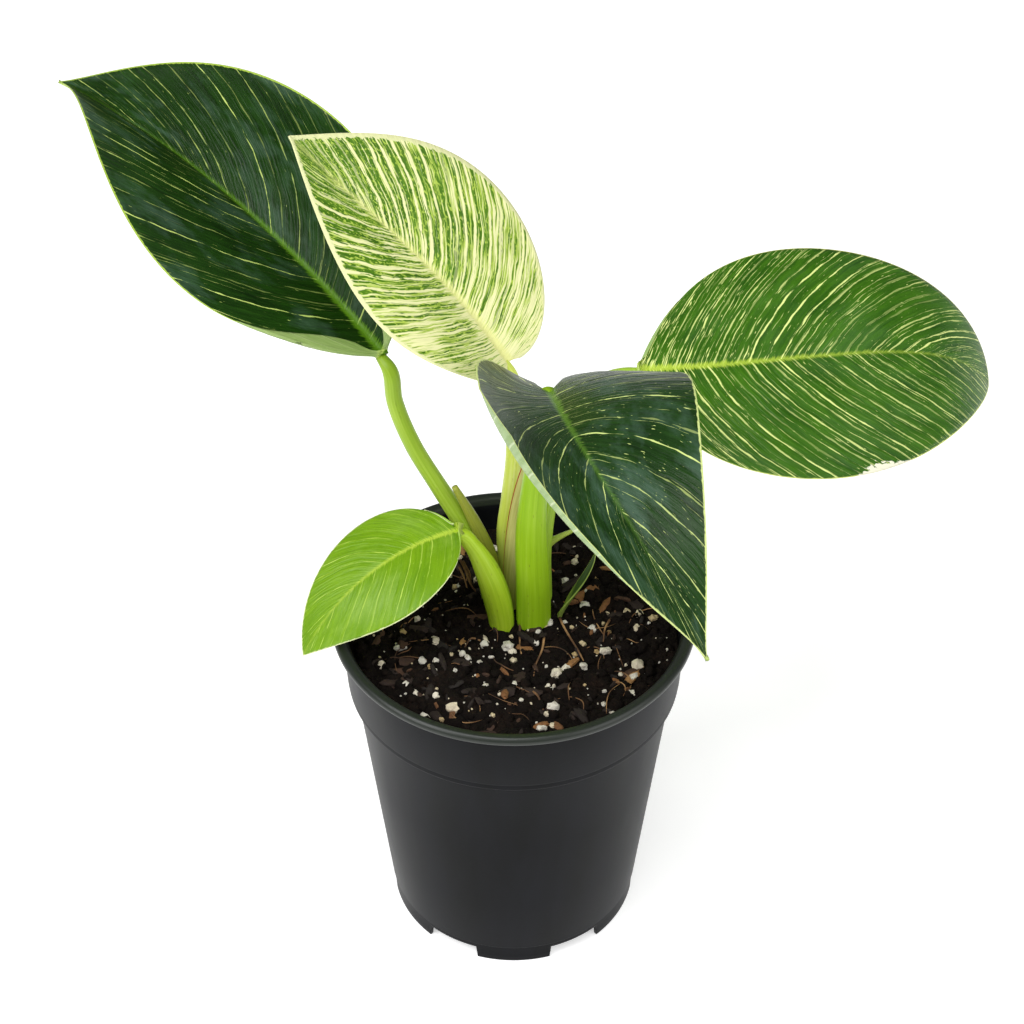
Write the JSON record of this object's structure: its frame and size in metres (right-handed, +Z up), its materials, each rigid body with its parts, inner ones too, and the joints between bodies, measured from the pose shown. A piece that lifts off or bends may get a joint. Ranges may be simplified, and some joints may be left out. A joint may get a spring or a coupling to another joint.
{
  "type": "philodendron birkin in a nursery pot",
  "caption": "Young variegated philodendron with pointed oval leaves on upright petioles, growing in a black tapered plastic nursery pot filled with peat and perlite.",
  "frame": {"origin": "centre of the pot's flat floor where it rests, on the pot's axis", "axes": "+Z up along the pot's axis, -Y towards the front of the plant, where the front leaf and one foot of the pot point, +X to the right"},
  "size_m": [0.2892, 0.2203, 0.255],
  "materials": {
    "pot_plastic": "semi-matte moulded black plastic",
    "soil": "moist crumbly peat with white perlite and brown bark",
    "crown": "rough green-brown stem",
    "petiole": "smooth light green stem with fine stripes",
    "scale": "thin cream leaf scale with a red edge",
    "dry_scale": "dull dark green, partly dried",
    "leaf_dark": "glossy dark green with cream streaks along the veins",
    "leaf_striped": "glossy, cream streaks over green",
    "leaf_mid": "glossy mid green with thin cream streaks",
    "leaf_young": "glossy lime green, faintly streaked"
  },
  "bodies": {
    "root": {"nursery_pot": "pot_plastic", "potting_soil": "soil", "root_crown": "crown", "petiole_back": "petiole", "petiole_centre": "petiole", "petiole_right": "petiole", "petiole_front": "petiole", "petiole_small": "petiole", "cataphyll_centre": "scale", "cataphyll_side": "dry_scale", "blade_back": "leaf_dark", "blade_centre": "leaf_striped", "blade_right": "leaf_mid", "blade_front": "leaf_dark", "blade_small": "leaf_young"}
  },
  "joints": []
}
